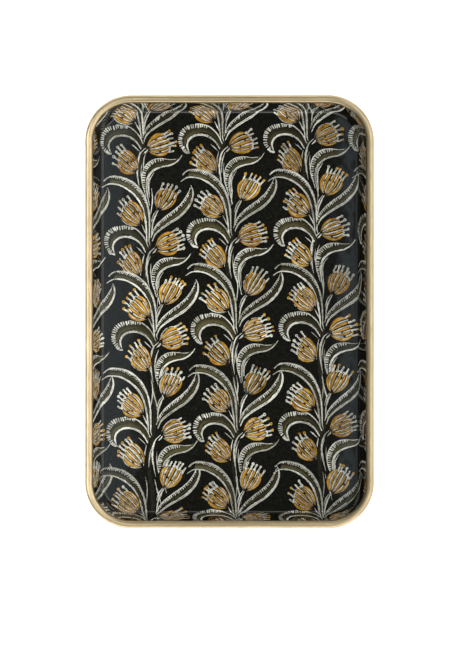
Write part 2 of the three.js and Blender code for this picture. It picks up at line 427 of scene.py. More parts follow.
def vine(seed=11):
    d = Drawing(seed)
    rng = d.rng
    left, right = joints()
    for c in range(5):
        # main stem, through the middle of each pair of joints, first so that everything else lies over it
        path = []
        for r in range(6):
            (lx, ly), (rx, ry) = left[c][r], right[c][r]
            x, y = (lx + rx) / 2, (ly + ry) / 2
            path += [(x, y), (x - 2.6, y - 14), (x - 2.6, y - 26), (x - 0.4, y - 44)]
        d.stroke("stem", path, 2.6, taper=(1, 1), rough=0.05, ends=0.01, step=0.8)
    for c in range(5):
        for r in range(6):
            def put(origin):
                ox, oy = origin
                turn = rng.normal(0, 0.018)
                k = 1 + rng.normal(0, 0.012)
                cs, sn = math.cos(turn) * k, math.sin(turn) * k
                return lambda p: (ox + p[0] * cs - (-p[1]) * sn, oy + p[0] * sn + (-p[1]) * cs)

            L, R = put(left[c][r]), put(right[c][r])
            # stems, in pairs of cream lines with the dark between
            rib = lambda pts, w: d.stroke("cream", pts, w, rough=0.10, taper=(0.35, 0.3), ends=0.3)
            rib([L((-1.9, 3.6)), L((-3.0, 9.0)), L((-3.6, 15.0)), L((-3.8, 18.4))], [0.7, 0.9, 0.6])
            rib([R((2.2, 2.6)), R((-1.3, 6.0)), R((-3.1, 10.8)), R((-3.8, 16.6)), R((-3.2, 23.0)), R((-1.9, 31.0))], [0.8, 1.15, 1.2, 0.95, 0.6])
            rib([R((5.2, -23.6)), R((3.0, -19.6)), R((1.2, -14.6)), R((0.2, -6.6))], [1.3, 1.15, 0.85, 0.7])
            rib([R((4.4, -24.0)), R((1.8, -20.6)), R((0.0, -15.0))], [0.5, 0.6, 0.4])
            rib([L((-4.9, -17.0)), L((-2.6, -12.6)), L((0.2, -7.4)), L((1.6, -2.8))], [0.7, 0.9, 0.9, 0.6])
            rib([L((-7.6, -1.2)), L((-5.2, 0.8)), L((-2.6, 3.4))], [0.4, 0.6, 0.5])
            rib([R((8.2, 19.6)), R((5.0, 25.0)), R((4.6, 31.0)), R((5.2, 37.4))], [0.5, 0.75, 0.7, 0.5])
            rib([L((0.9, -24.0)), L((1.6, -34.0)), L((0.6, -42.0))], [0.5, 0.6, 0.4])
            rib([L((2.4, 4.4)), L((0.6, 10.0)), L((-0.2, 19.0))], [0.5, 0.7, 0.4])
            rib([R((3.4, 3.4)), R((2.6, 4.8)), R((0.6, 6.6))], [0.9, 1.0, 0.5])
            rib([R((-2.6, 33.0)), R((-1.2, 40.0)), R((0.6, 47.0)), R((1.4, 52.0))], [0.5, 0.8, 0.8, 0.5])
            rib([R((-0.6, 14.0)), R((-0.9, 20.0)), R((-0.1, 27.0))], [0.35, 0.5, 0.4])
            d.stroke("olive", [R((0.4, 26.0)), R((2.6, 33.0)), R((4.0, 42.0))], [1.2, 1.8, 1.0], rough=0.10, ends=0.3)
            # leaves
            d.leaf(*LONG, L, line=(1.25, 0.04, 1.0), comb=(0.42, 0.90), comb_len=2.3, comb_gap=1.45, comb_w=0.55, lean=0.5, crescent=1.15, notch=1.3, tail=0.06)
            d.leaf(*HOOK, L, line=(0.85, 0.0, 0.45), comb=(0.30, 0.97), comb_len=3.0, comb_gap=1.70, comb_w=0.90, crescent=1.6, notch=1.8)
            d.stroke("cream", [L((-27.2, 2.6)), L((-24.6, 4.4)), L((-22.0, 4.8))], [0.9, 1.5, 1.5], rough=0.1, taper=(0.4, 0.7))
            d.leaf(*ARCHED, R, line=(0.6, 0.12, 1.0), comb=(0.20, 0.84), comb_len=2.9, comb_gap=1.62, comb_w=0.80, crescent=1.45, notch=2.0)
            d.leaf(*CURVED, R, line=(0.62, 0.0, 0.97), comb=(0.06, 0.90), comb_len=2.0, comb_gap=1.42, comb_w=0.72, lean=-0.35, crescent=1.5, notch=2.0)
            # buds
            for P, base, tip, size, skew in (
                (L, (-4.0, 18.4), (-14.6, 7.2), (17.3, 7.5), 0.12),
                (L, (-4.9, -17.0), (-17.4, -28.2), (17.7, 7.9), 0.06),
                (R, (2.7, 3.4), (17.4, -1.8), (17.3, 8.1), 0.0),
                (R, (5.2, -23.6), (13.6, -38.8), (17.9, 7.5), 0.04),
            ):
                b, q = np.array(base), np.array(tip)
                dirn = q - b
                a = rng.normal(0, 0.045)
                dirn = np.array([dirn[0] * math.cos(a) - dirn[1] * math.sin(a), dirn[0] * math.sin(a) + dirn[1] * math.cos(a)])
                d.flower(b, dirn, P, length=size[0] * rng.uniform(0.97, 1.04), half=size[1], stamens=int(rng.integers(5, 7)), skew=skew)
    return d

# ---- swept shells ----
def outline(offset, per_corner=24, per_side=(26, 44)):
    """Points round the tray at this offset, counter-clockwise from the middle of the +Y side, with each one's
    distance round the outline at offset 0. per_side is the steps in a short and a long side."""
    r = CORNER_R + offset
    pts, run, s = [], [], 0.0
    legs = [
        ("line", (0, CY + r), (-CX, CY + r), per_side[0] // 2),
        ("turn", (-CX, CY), math.pi / 2, per_corner),
        ("line", (-CX - r, CY), (-CX - r, -CY), per_side[1]),
        ("turn", (-CX, -CY), math.pi, per_corner),
        ("line", (-CX, -CY - r), (CX, -CY - r), per_side[0]),
        ("turn", (CX, -CY), 3 * math.pi / 2, per_corner),
        ("line", (CX + r, -CY), (CX + r, CY), per_side[1]),
        ("turn", (CX, CY), 0.0, per_corner),
        ("line", (CX, CY + r), (0, CY + r), per_side[0] // 2),
    ]
    for kind, a, b, n in legs:
        for i in range(n):
            t = i / n
            if kind == "line":
                p = (a[0] + (b[0] - a[0]) * t, a[1] + (b[1] - a[1]) * t)
                step = math.dist(a, b) / n
            else:
                w = b + t * math.pi / 2
                p = (a[0] + r * math.cos(w), a[1] + r * math.sin(w))
                step = CORNER_R * math.pi / 2 / n
            pts.append(p)
            run.append(s)
            s += step
    return np.array(pts), np.array(run), s


def waver(run, total, seed, waves=(2, 3, 5, 9, 14, 23), size=0.05):
    """A slow, closed, hand-made unevenness along the outline."""
    rng = np.random.default_rng(seed)
    out = np.zeros(len(run))
    for k in waves:
        out += rng.normal(0, 1) / math.sqrt(k) * np.sin(2 * math.pi * k * run / total + rng.uniform(0, 2 * math.pi))
    return out * size / 1.2


def shell(name, section, closed, wave=0.0, seed=1, seam=None, caps=True, sharp=(), **steps):
    """Sweeps a section round the outline. An open section is closed by flat faces at both ends. seam is half the
    width of a cut through the middle of the +Y side. Gives the piece a map of distance round and along the section."""
    section = [np.array(p, float) for p in section]
    bm = bmesh.new()
    uv = bm.loops.layers.uv.new("run")
    rings, runs = [], []
    arc_len = [0.0]
    for a, b in zip(section, section[1:]):
        arc_len.append(arc_len[-1] + float(np.linalg.norm(b - a)))
    for o, z in section:
        pts, run, total = outline(o, **steps)
        if wave:
            w = waver(run, total, seed, size=wave)
            w2 = waver(run, total, seed + 7, size=wave * 0.7)
            centre = np.array([0, 0])
            n = pts - np.column_stack([np.clip(pts[:, 0], -CX, CX), np.clip(pts[:, 1], -CY, CY)])
            n /= np.linalg.norm(n, axis=1)[:, None]
            pts = pts - n * np.abs(w)[:, None]
            zz = z - np.abs(w2) * (z / HEIGHT)
        else:
            zz = np.full(len(pts), z)
        if seam:
            pts = np.vstack([pts, [[0, pts[0][1]]]])
            pts[0][0], pts[-1][0] = -seam, seam
            zz = np.append(zz, zz[0])
            run = np.append(run, total)
        rings.append([bm.verts.new((p[0] * MM, p[1] * MM, h * MM)) for p, h in zip(pts, zz)])
        runs.append(run)
    n, m = len(rings[0]), len(rings)
    total_v = arc_len[-1]
    for i in range(m if closed else m - 1):
        j2 = (i + 1) % m
        for j in range(n - 1 if seam else n):
            k = (j + 1) % n
            f = bm.faces.new((rings[i][j], rings[j2][j], rings[j2][k], rings[i][k]))
            f.smooth = True
            u0, u1 = runs[i][j], runs[i][j + 1] if j + 1 < len(runs[i]) else total
            v0, v1 = arc_len[i], arc_len[i + 1] if i + 1 < m else total_v + 0.4
            for loop, (u, v) in zip(f.loops, ((u0, v0), (u0, v1), (u1, v1), (u1, v0))):
                loop[uv].uv = (u, v)
    if not closed:
        for ring, up in ((rings[0], True), (rings[-1], False)):
            f = bm.faces.new(ring if up else ring[::-1])
            for e in f.edges:
                e.smooth = False
            for loop in f.loops:
                loop[uv].uv = (loop.vert.co.x / MM, loop.vert.co.y / MM)
    if seam:
        for ring_end, flip in ((0, False), (n - 1, True)):
            vs = [rings[i][ring_end] for i in range(m)]
            f = bm.faces.new(vs if flip else vs[::-1])
            for e in f.edges:
                e.smooth = False
            for loop in f.loops:
                loop[uv].uv = (0, 0)
    bmesh.ops.recalc_face_normals(bm, faces=bm.faces)
    me = bpy.data.meshes.new(name)
    bm.to_mesh(me)
    bm.free()
    ob = bpy.data.objects.new(name, me)
    bpy.context.scene.collection.objects.link(ob)
    return ob


# ---- the printed liner ----
RHO = COVE_R - GAP - LINER  # cove radius of the liner's upper face
TOP_Z = SHEET + GAP + LINER
COVE_RUN = RHO * (math.pi / 2 - LEAN)
D_MAX = COVE_RUN + WALL - BAND_LIP - GAP  # how far up the cove and the wall the print goes
EDGE_R = CORNER_R + FLOOR_EDGE  # corner radius of the flat floor


def print_distance(p):
    """How far each flat point lies outside the flat floor, with the way out."""
    q = np.abs(p) - np.array([CX, CY])
    s = np.sign(p)
    corner = (q[:, 0] > 0) & (q[:, 1] > 0)
    long = q[:, 0] > q[:, 1]
    n = np.where(long[:, None], [1.0, 0.0], [0.0, 1.0])
    dist = np.where(long, q[:, 0], q[:, 1]) - EDGE_R
    lc = np.linalg.norm(q, axis=1) + 1e-12
    n = np.where(corner[:, None], q / lc[:, None], n)
    dist = np.where(corner, lc - EDGE_R, dist)
    return dist, n * s


def on_tray(p, lift=0.0):
    """Flat print points as points on the liner's upper face, with that face's normals."""
    d, n = print_distance(p)
    out = np.maximum(d, 0)
    a = np.minimum(out / RHO, math.pi / 2 - LEAN)
    wall = np.maximum(out - COVE_RUN, 0)
    ho = RHO * np.sin(a) + wall * UP[0]
    z = TOP_Z + RHO * (1 - np.cos(a)) + wall * UP[1]
    foot = p - n * out[:, None]
    normal = np.column_stack([-n * np.sin(a)[:, None], np.cos(a)])
    # the pressed floor isn't quite flat
    fade = np.clip(-d / 12, 0, 1) ** 2
    x, y = p[:, 0], p[:, 1]
    gx, gy = np.zeros(len(p)), np.zeros(len(p))
    bump = np.zeros(len(p))
    for kx, ky, ph, amp in ((0.041, 0.013, 0.4, 0.030), (0.017, 0.036, 2.1, 0.034), (-0.052, 0.047, 4.0, 0.014), (0.090, 0.021, 1.2, 0.007)):
        w = kx * x + ky * y + ph
        bump += amp * np.sin(w)
        gx += amp * kx * np.cos(w)
        gy += amp * ky * np.cos(w)
    bump, gx, gy = bump * fade * FLOOR_WAVE, gx * fade * FLOOR_WAVE, gy * fade * FLOOR_WAVE
    normal = normal + np.column_stack([-gx, -gy, np.zeros(len(p))])
    normal /= np.linalg.norm(normal, axis=1)[:, None]
    pos = np.column_stack([foot + n * ho[:, None], z + bump]) + normal * lift
    return pos, normal


FLOOR_WAVE = 0.35


def floor_loop(d, step_deg=3.0, step_mm=6.0):
    """The rounded outline at distance d outside the flat floor, in flat print coordinates, counter-clockwise."""
    r = EDGE_R + d
    pts = []
    k = max(2, int(90 / step_deg))
    for cx, cy, a0 in ((CX, CY, 0), (-CX, CY, 90), (-CX, -CY, 180), (CX, -CY, 270)):
        for i in range(k + 1):
            a = math.radians(a0 + 90 * i / k)
            pts.append((cx + r * math.cos(a), cy + r * math.sin(a)))
        nx, ny = {0: (-CX, CY), 90: (-CX, -CY), 180: (CX, -CY), 270: (CX, CY)}[a0]
        a = math.radians(a0 + 90)
        end = np.array([nx + r * math.cos(a), ny + r * math.sin(a)])
        start = np.array(pts[-1])
        n = int(np.linalg.norm(end - start) / step_mm)
        for i in range(1, n):
            pts.append(tuple(start + (end - start) * i / n))
    return np.array(pts)


INKS = ["ground", "stem", "olive", "ochre", "rust", "dark", "cream", "backing"]


def printed_liner(name, drawing):
    """One closed sheet whose upper face is cut along every edge of the print, so that each face has one ink."""
    strips = []
    for ink, rows in drawing.strips.items():
        for left, right, z, across, tone in rows:
            both = np.vstack([left, right])
            d, _ = print_distance(both)
            if d.min() < D_MAX:
                strips.append((ink, left, right, z, across, tone))
    pts, edges, n = [], [], 0
    for ink, left, right, z, across, tone in strips:
        ring = np.vstack([left, right[::-1]])
        i = np.arange(len(ring)) + n
        pts.append(ring)
        edges.append(np.column_stack([i, np.roll(i, -1)]))
        n += len(ring)
    loops = [0.0] + [COVE_RUN * k / 7 for k in range(1, 8)] + [COVE_RUN + (D_MAX - COVE_RUN) * k / 5 for k in range(1, 6)]
    for d in loops:
        ring = floor_loop(d)
        i = np.arange(len(ring)) + n
        pts.append(ring)
        edges.append(np.column_stack([i, np.roll(i, -1)]))
        n += len(ring)
    # a loose net over the floor, so that no face is very long
    for gx in np.arange(-84, 85, 7.0):
        for gy in np.arange(-133, 134, 7.0):
            pts.append(np.array([[gx + 0.13, gy + 0.07]]))
            n += 1
    pts, edges = np.vstack(pts), np.vstack(edges)
    made = delaunay_2d_cdt([Vector(p) for p in pts.tolist()], edges.tolist(), [], 0, 2e-3, False)
    P = np.array([(v.x, v.y) for v in made[0]])
    T = np.array(made[2], int)
    # drop what lies outside the print, and turn every face the same way up
    mid = P[T].mean(1)
    d, _ = print_distance(mid)
    T = T[d < D_MAX - 1e-3]
    a, b, c = P[T[:, 0]], P[T[:, 1]], P[T[:, 2]]
    area = (b[:, 0] - a[:, 0]) * (c[:, 1] - a[:, 1]) - (b[:, 1] - a[:, 1]) * (c[:, 0] - a[:, 0])
    T[area < 0] = T[area < 0][:, ::-1]
    mid = P[T].mean(1)
    # the topmost strip over each face's middle
    ink_of = np.zeros(len(T), int)
    top = np.full(len(T), -1.0)
    tone_of = np.full(len(T), 0.5)
    owner = np.full(len(T), -1)
    cell = 1.0
    x0, y0 = mid.min(0) - 1
    key = ((mid[:, 0] - x0) / cell).astype(int) * 4096 + ((mid[:, 1] - y0) / cell).astype(int)
    order = np.argsort(key, kind="stable")
    keys = key[order]
    for si, (ink, left, right, z, across, tone) in enumerate(strips):
        quads = np.stack([left[:-1], right[:-1], right[1:], left[1:]], 1)
        qlo, qhi = quads.min(1), quads.max(1)
        cells = set()
        for l2, h2 in zip(((qlo - (x0, y0)) / cell).astype(int), ((qhi - (x0, y0)) / cell).astype(int)):
            for cx in range(l2[0], h2[0] + 1):
                for cy in range(l2[1], h2[1] + 1):
                    cells.add(cx * 4096 + cy)
        ks = np.array(sorted(cells))
        lo_i, hi_i = np.searchsorted(keys, ks), np.searchsorted(keys, ks, side="right")
        cand = np.concatenate([order[l3:h3] for l3, h3 in zip(lo_i, hi_i)]) if len(ks) else np.array([], int)
        if not len(cand):
            continue
        m = mid[cand]
        inside = np.zeros(len(cand), bool)
        box = (m[:, 0] >= qlo[:, 0].min()) & (m[:, 0] <= qhi[:, 0].max()) & (m[:, 1] >= qlo[:, 1].min()) & (m[:, 1] <= qhi[:, 1].max())
        cand, m, inside = cand[box], m[box], inside[box]
        for q in quads:
            # a point is in the quad if it is in either of its triangles
            near = np.nonzero((m[:, 0] >= q[:, 0].min()) & (m[:, 0] <= q[:, 0].max()) & (m[:, 1] >= q[:, 1].min()) & (m[:, 1] <= q[:, 1].max()))[0]
            if not len(near):
                continue
            w = m[near]
            for tri in ((q[0], q[1], q[2]), (q[0], q[2], q[3])):
                s = [(tri[(k + 1) % 3][0] - tri[k][0]) * (w[:, 1] - tri[k][1]) - (tri[(k + 1) % 3][1] - tri[k][1]) * (w[:, 0] - tri[k][0]) for k in range(3)]
                hit = ((s[0] >= 0) & (s[1] >= 0) & (s[2] >= 0)) | ((s[0] <= 0) & (s[1] <= 0) & (s[2] <= 0))
                inside[near[hit]] = True
        hit = cand[inside]
        hit = hit[z > top[hit]]
        top[hit] = z
        ink_of[hit] = INKS.index(ink)
        tone_of[hit] = tone
        owner[hit] = si
    # lay the sheet on the tray
    pos, normal = on_tray(P)
    used = np.unique(T)
    remap = np.full(len(P), -1)
    remap[used] = np.arange(len(used))
    P, pos, normal, T = P[used], pos[used], normal[used], remap[T]
    nv = len(P)
    # the border of the upper face, in order
    e = np.vstack([T[:, [0, 1]], T[:, [1, 2]], T[:, [2, 0]]])
    ek = np.sort(e, 1)
    uniq, idx, count = np.unique(ek, axis=0, return_index=True, return_counts=True)
    rim = {int(a): int(b) for a, b in e[idx[count == 1]]}
    start = next(iter(rim))
    border, at = [start], rim[start]
    while at != start and len(border) <= len(rim):
        border.append(at)
        at = rim[at]
    border = np.array(border)
    # sides and back, in rings of the same points
    bp = P[border]
    bd, bn = print_distance(bp)
    back = []
    for dist in (D_MAX, COVE_RUN, COVE_RUN * 0.75, COVE_RUN * 0.5, COVE_RUN * 0.25, 0.0):
        foot = bp - bn * (bd - dist)[:, None]
        q, _ = on_tray(foot, lift=-(LINER - 0.02))
        back.append(q)
    co = np.vstack([pos] + back)
    faces = T.tolist()
    nb = len(border)
    first = border.tolist()
    rings = [first] + [list(range(nv + k * nb, nv + (k + 1) * nb)) for k in range(len(back))]
    for r0, r1 in zip(rings, rings[1:]):
        for j in range(nb):
            k = (j + 1) % nb
            faces.append((r0[k], r0[j], r1[j], r1[k]))
    faces.append(rings[-1][::-1])
    me = bpy.data.meshes.new(name)
    me.from_pydata((co * MM).tolist(), [], faces)
    nt = len(T)
    mats = np.full(len(faces), INKS.index("backing"), np.int32)
    mats[:nt] = ink_of
    me.polygons.foreach_set("material_index", mats)
    smooth_flags = np.ones(len(faces), bool)
    me.polygons.foreach_set("use_smooth", smooth_flags)
    # the flat print coordinates, the shade across each strip and the tone of each
    nl = len(me.loops)
    uv = np.zeros((nl, 2), np.float32)
    uv[: nt * 3] = P[T.ravel()]
    me.uv_layers.new(name="print").data.foreach_set("uv", uv.ravel())
    shade = np.zeros(nl, np.float32)
    tone = np.full(nl, 0.5, np.float32)
    tone[: nt * 3] = np.repeat(tone_of, 3)
    corner = P[T.ravel()]
    own3 = np.repeat(owner, 3)
    order = np.argsort(own3, kind="stable")
    bounds_ = np.searchsorted(own3[order], np.arange(len(strips) + 1))
    for si, (ink, left, right, z, across, tn) in enumerate(strips):
        if across is None:
            continue
        sel = order[bounds_[si] : bounds_[si + 1]]
        if not len(sel):
            continue
        c = corner[sel]
        centre = (left + right) / 2
        i = np.argmin(((c[:, None, :] - centre[None]) ** 2).sum(2), 1)
        g = right[i] - left[i]
        t = ((c - left[i]) * g).sum(1) / ((g * g).sum(1) + 1e-9)
        shade[sel] = np.clip(across[0] + (across[1] - across[0]) * t, 0, 1)
    for label, values in (("shade", shade), ("tone", tone)):
        me.attributes.new(label, "FLOAT", "CORNER").data.foreach_set("value", values)
    me.validate(clean_customdata=False)
    me.update()
    ob = bpy.data.objects.new(name, me)
    bpy.context.scene.collection.objects.link(ob)
    if len(me.loops) == nl:
        vn = np.zeros((nl, 3), np.float32)
        vn[: nt * 3] = normal[T.ravel()]
        face_normal = np.zeros((len(me.polygons), 3), np.float32)
        me.polygons.foreach_get("normal", face_normal.ravel())
        face_normal = face_normal.reshape(-1, 3)
        totals = np.zeros(len(me.polygons), np.int32)
        me.polygons.foreach_get("loop_total", totals)
        vn[nt * 3 :] = np.repeat(face_normal[nt:], totals[nt:], axis=0)
        me.normals_split_custom_set(vn.tolist())
    return ob

# ---- materials ----
class Nodes:
    """Short calls for building a node tree."""

    def __init__(self, name):
        self.m = bpy.data.materials.new(name)
        self.m.use_nodes = True
        self.t = self.m.node_tree
        self.t.nodes.clear()
        self.out = self.t.nodes.new("ShaderNodeOutputMaterial")
        self.bsdf = self.t.nodes.new("ShaderNodeBsdfPrincipled")
        self.link(self.bsdf.outputs[0], self.out.inputs["Surface"])

    def link(self, a, b):
        self.t.links.new(a, b)

    def put(self, socket, value):
        if hasattr(value, "is_output"):
            self.link(value, socket)
        else:
            socket.default_value = value

    def node(self, kind, out=0, set=None, **inputs):
        n = self.t.nodes.new("ShaderNode" + kind)
        for k, v in (set or {}).items():
            setattr(n, k, v)
        for k, v in inputs.items():
            key = int(k[1:]) if k[0] == "_" and k[1:].isdigit() else k.replace("_", " ")
            self.put(n.inputs[key], v)
        return n.outputs[out]

    def uv(self, name):
        return self.node("UVMap", set={"uv_map": name})

    def attr(self, name):
        return self.node("Attribute", out="Fac", set={"attribute_name": name, "attribute_type": "GEOMETRY"})

    def object(self):
        return self.node("TexCoord", out="Object")

    def scale(self, vector, by):
        return self.node("Mapping", set={"vector_type": "POINT"}, Vector=vector, Scale=by)

    def noise(self, vector, scale, detail=2.0, rough=0.5, distortion=0.0):
        return self.node("TexNoise", out="Fac", Vector=vector, Scale=scale, Detail=detail, Roughness=rough, Distortion=distortion)

    def ramp(self, value, *stops, smooth=True):
        n = self.t.nodes.new("ShaderNodeValToRGB")
        n.color_ramp.interpolation = "EASE" if smooth else "LINEAR"
        while len(n.color_ramp.elements) < len(stops):
            n.color_ramp.elements.new(0.5)
        for e, (p, c) in zip(n.color_ramp.elements, stops):
            e.position = p
            e.color = (c, c, c, 1) if not hasattr(c, "__len__") else (*c, 1)
        self.link(value, n.inputs[0])
        return n.outputs[0]

    def mix(self, fac, a, b, blend="MIX"):
        n = self.t.nodes.new("ShaderNodeMix")
        n.data_type = "RGBA"
        n.blend_type = blend
        n.clamp_factor = True
        self.put(n.inputs[0], fac)
        self.put(n.inputs[6], a if hasattr(a, "is_output") else (*a, 1))
        self.put(n.inputs[7], b if hasattr(b, "is_output") else (*b, 1))
        return n.outputs[2]

    def math(self, op, a, b=0.0, clamp=False):
        n = self.t.nodes.new("ShaderNodeMath")
        n.operation = op
        n.use_clamp = clamp
        self.put(n.inputs[0], a)
        self.put(n.inputs[1], b)
        return n.outputs[0]

    def span(self, value, a, b, c, d):
        return self.node("MapRange", set={"clamp": True}, Value=value, From_Min=a, From_Max=b, To_Min=c, To_Max=d)

    def bump(self, height, strength, distance, normal=None):
        kw = {"Height": height, "Strength": strength, "Distance": distance}
        if normal is not None:
            kw["Normal"] = normal
        return self.node("Bump", **kw)

    def set(self, **values):
        for k, v in values.items():
            self.put(self.bsdf.inputs[k.replace("_", " ")], v)
        return self.m


def srgb(r, g, b):
    return tuple(((c / 255) / 12.92 if c <= 10.3 else ((c / 255 + 0.055) / 1.055) ** 2.4) for c in (r, g, b))


GROUND = srgb(14, 14, 10)


def clear_coat(n, base_rough=0.5):
    """The glossy coat over the whole print, with faint waves and a few fine scratches."""
    p = n.uv("print")
    waves = n.noise(p, 0.055, 2.0, 0.45)
    fine = n.noise(p, 0.9, 3.0, 0.6)
    h = n.math("ADD", n.math("MULTIPLY", waves, 1.0), n.math("MULTIPLY", fine, 0.012))
    nb = n.bump(h, 0.12, 0.0006)
    n.link(nb, n.bsdf.inputs["Coat Normal"])
    n.link(nb, n.bsdf.inputs["Normal"])
    n.bsdf.inputs["Coat Weight"].default_value = 1.0
    n.bsdf.inputs["Coat Roughness"].default_value = 0.05
    n.bsdf.inputs["Coat IOR"].default_value = 1.5
    n.bsdf.inputs["Specular IOR Level"].default_value = 0.0
    n.put(n.bsdf.inputs["Roughness"], n.span(fine, 0.3, 0.7, base_rough - 0.08, base_rough + 0.1))


def ink(name, light, deep, worn=0.5, fleck=0.55, grain=1.0):
    """A printed colour: uneven in tone, thin in places, and flecked where the ground shows through."""
    n = Nodes(name)
    p = n.uv("print")
    tone = n.attr("tone")
    body = n.noise(p, 0.32 * grain, 3.0, 0.55, 0.4)
    t = n.math("ADD", n.math("MULTIPLY", tone, 0.45), n.math("MULTIPLY", body, 0.75))
    colour = n.mix(n.span(t, 0.34, 0.86, 0.0, 1.0), light, deep)
    # dry, scratchy flecks, longer one way than the other, in patches
    s1 = n.noise(n.scale(p, (1.0, 1.5, 1.0)), 1.05 * grain, 5.0, 0.74, 0.6)
    patch = n.noise(p, 0.16, 2.0, 0.5)
    level = n.math("ADD", s1, n.math("MULTIPLY", n.math("SUBTRACT", patch, 0.5), 0.35))
    gone = n.span(level, fleck, fleck + 0.10, 0.0, worn)
    colour = n.mix(gone, colour, GROUND)
    # a darker, thinner film in slow patches
    colour = n.mix(n.span(patch, 0.5, 0.72, 0.0, 0.28), colour, n.mix(0.5, deep, GROUND))
    n.link(colour, n.bsdf.inputs["Base Color"])
    clear_coat(n)
    return n.m


def ground_mat(name, colour):
    n = Nodes(name)
    p = n.uv("print")
    a = n.noise(p, 0.35, 4.0, 0.6)
    b = n.noise(n.scale(p, (1.0, 0.8, 1.0)), 0.95, 5.0, 0.72, 0.5)
    c = n.mix(n.span(a, 0.3, 0.72, 0.0, 1.0), tuple(v * 0.72 for v in colour), tuple(v * 1.35 for v in colour))
    # traces of colour left in the cleared ground
    c = n.mix(n.span(n.math("ADD", b, n.math("MULTIPLY", a, 0.25)), 0.60, 0.90, 0.0, 1.0), c, tuple(v + w for v, w in zip(colour, srgb(38, 39, 34))))
    n.link(c, n.bsdf.inputs["Base Color"])
    clear_coat(n, 0.45)
    return n.m


def olive_mat(name):
    """A leaf's fill: nearly black along the cut edge, and lighter and yellower beside the cream line."""
    n = Nodes(name)
    p = n.uv("print")
    shade, tone = n.attr("shade"), n.attr("tone")
    streak = n.noise(n.scale(p, (1.0, 1.6, 1.0)), 1.1, 4.0, 0.65, 1.0)
    t = n.math("ADD", shade, n.math("MULTIPLY", n.math("SUBTRACT", streak, 0.5), 0.7))
    t = n.math("ADD", t, n.math("MULTIPLY", n.math("SUBTRACT", tone, 0.5), 0.3))
    c = n.ramp(t, (0.12, srgb(24, 24, 19)), (0.45, srgb(48, 45, 31)), (0.72, srgb(82, 77, 49)), (1.0, srgb(126, 120, 84)))
    n.link(c, n.bsdf.inputs["Base Color"])
    clear_coat(n)
    return n.m


def brass_mat(name):
    n = Nodes(name)
    run = n.uv("run")  # x along the rim, y round the section, in mm
    grain = n.noise(n.scale(run, (0.14, 3.2, 1.0)), 1.0, 4.0, 0.65)
    cloud = n.noise(n.scale(run, (0.06, 0.30, 1.0)), 1.0, 3.0, 0.6)
    spot = n.noise(n.scale(run, (0.9, 1.6, 1.0)), 1.0, 4.0, 0.7)
    c = n.mix(n.span(cloud, 0.3, 0.7, 0.0, 1.0), srgb(196, 178, 143), srgb(180, 161, 125))
    c = n.mix(n.span(grain, 0.42, 0.66, 0.0, 0.30), c, srgb(154, 133, 95))
    c = n.mix(n.span(spot, 0.66, 0.80, 0.0, 0.55), c, srgb(106, 86, 58))
    n.link(c, n.bsdf.inputs["Base Color"])
    n.bsdf.inputs["Metallic"].default_value = 1.0
    n.put(n.bsdf.inputs["Roughness"], n.span(n.math("ADD", grain, n.math("MULTIPLY", cloud, 0.5)), 0.5, 1.0, 0.29, 0.42))
    dent = n.noise(n.scale(run, (0.11, 0.35, 1.0)), 1.0, 2.0, 0.5)
    h = n.math("ADD", n.math("MULTIPLY", dent, 1.0), n.math("MULTIPLY", grain, 0.07))
    n.link(n.bump(h, 0.35, 0.0004), n.bsdf.inputs["Normal"])
    return n.m


def pan_mat(name):
    n = Nodes(name)
    p = n.object()
    a = n.noise(p, 900.0, 3.0, 0.6)
    b = n.noise(p, 45.0, 4.0, 0.6)
    s = n.noise(n.scale(p, (1.0, 0.12, 1.0)), 1800.0, 2.0, 0.5)
    c = n.mix(n.span(b, 0.35, 0.7, 0.0, 1.0), srgb(22, 22, 21), srgb(34, 33, 31))
    c = n.mix(n.span(s, 0.70, 0.80, 0.0, 0.35), c, srgb(96, 92, 84))
    c = n.mix(n.span(a, 0.68, 0.78, 0.0, 0.30), c, srgb(58, 56, 50))
    n.link(c, n.bsdf.inputs["Base Color"])
    n.put(n.bsdf.inputs["Roughness"], n.span(n.math("ADD", a, b), 0.7, 1.3, 0.30, 0.50))
    n.bsdf.inputs["Coat Weight"].default_value = 0.25
    n.bsdf.inputs["Coat Roughness"].default_value = 0.25
    h = n.math("ADD", n.math("MULTIPLY", a, 0.25), b)
    n.link(n.bump(h, 0.25, 0.0003), n.bsdf.inputs["Normal"])
    return n.m


def steel_mat(name):
    n = Nodes(name)
    p = n.object()
    a = n.noise(p, 1400.0, 3.0, 0.6)
    b = n.noise(p, 60.0, 3.0, 0.6)
    c = n.mix(n.span(a, 0.35, 0.7, 0.0, 1.0), srgb(150, 148, 144), srgb(182, 180, 174))
    c = n.mix(n.span(b, 0.60, 0.75, 0.0, 0.5), c, srgb(112, 96, 78))
    n.link(c, n.bsdf.inputs["Base Color"])
    n.bsdf.inputs["Metallic"].default_value = 1.0
    n.put(n.bsdf.inputs["Roughness"], n.span(a, 0.3, 0.7, 0.28, 0.45))
    n.link(n.bump(a, 0.2, 0.0002), n.bsdf.inputs["Normal"])
    return n.m


def backing_mat(name):
    n = Nodes(name)
    a = n.noise(n.object(), 700.0, 4.0, 0.6)
    n.link(n.mix(n.span(a, 0.35, 0.65, 0.0, 1.0), srgb(26, 26, 24), srgb(44, 42, 38)), n.bsdf.inputs["Base Color"])
    n.put(n.bsdf.inputs["Roughness"], n.span(a, 0.3, 0.7, 0.6, 0.8))
    return n.m

# ---- pieces ----
SMOOTH = 30
pan_section = (
    arc(COVE, COVE_R, -math.pi / 2, -LEAN, 8)
    + arc(WIRE, CURL_OUT, math.pi - LEAN, CURL_END, 26)
    + arc(WIRE, CURL_IN, CURL_END, math.pi - LEAN, 20)
    + arc(COVE, COVE_R + SHEET, -LEAN, -math.pi / 2, 10)
)
pan = shell("pressed_pan", pan_section, False, wave=0.03, seed=5)
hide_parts("tray_pan")
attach(pan, "root")
pan.data.materials.append(pan_mat("pan_enamel"))

